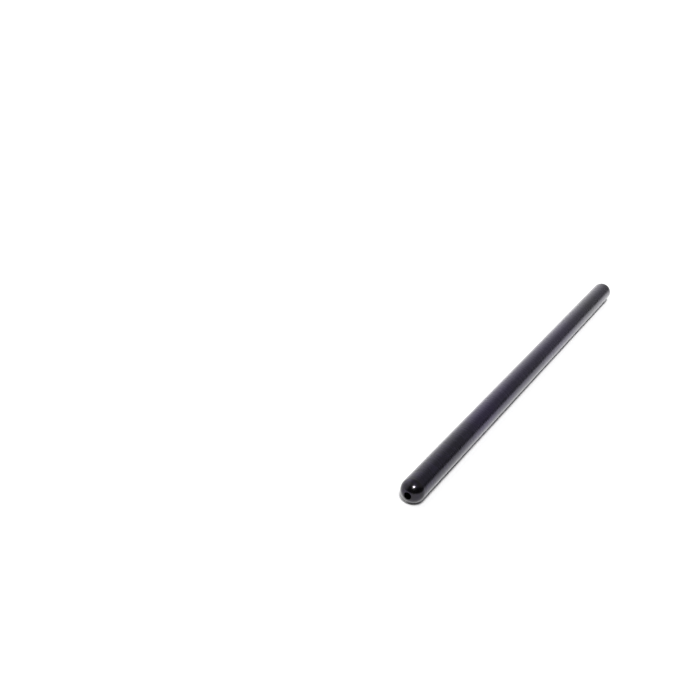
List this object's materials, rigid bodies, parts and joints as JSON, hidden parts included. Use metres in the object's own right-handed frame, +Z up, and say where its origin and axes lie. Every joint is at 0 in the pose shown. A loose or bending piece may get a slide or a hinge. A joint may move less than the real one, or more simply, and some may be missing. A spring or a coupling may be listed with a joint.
{
  "type": "engine pushrod",
  "caption": "Slim hollow steel engine pushrod with a formed ball on each end and an oil hole through each ball, black oxide finish.",
  "frame": {"origin": "under the middle of the rod's length, on the surface it lies on", "axes": "+X along the rod, +Z up, +Y across; both ends are the same, and the end at -X is the near one in the picture"},
  "size_m": [0.198, 0.008, 0.0079],
  "materials": {
    "black_oxide_steel": "smooth black oxide over ground and hardened steel, deep black with a faint violet cast, satin-gloss on the tube and glossier on the balls"
  },
  "bodies": {
    "root": {"pushrod": "black_oxide_steel"}
  },
  "joints": []
}
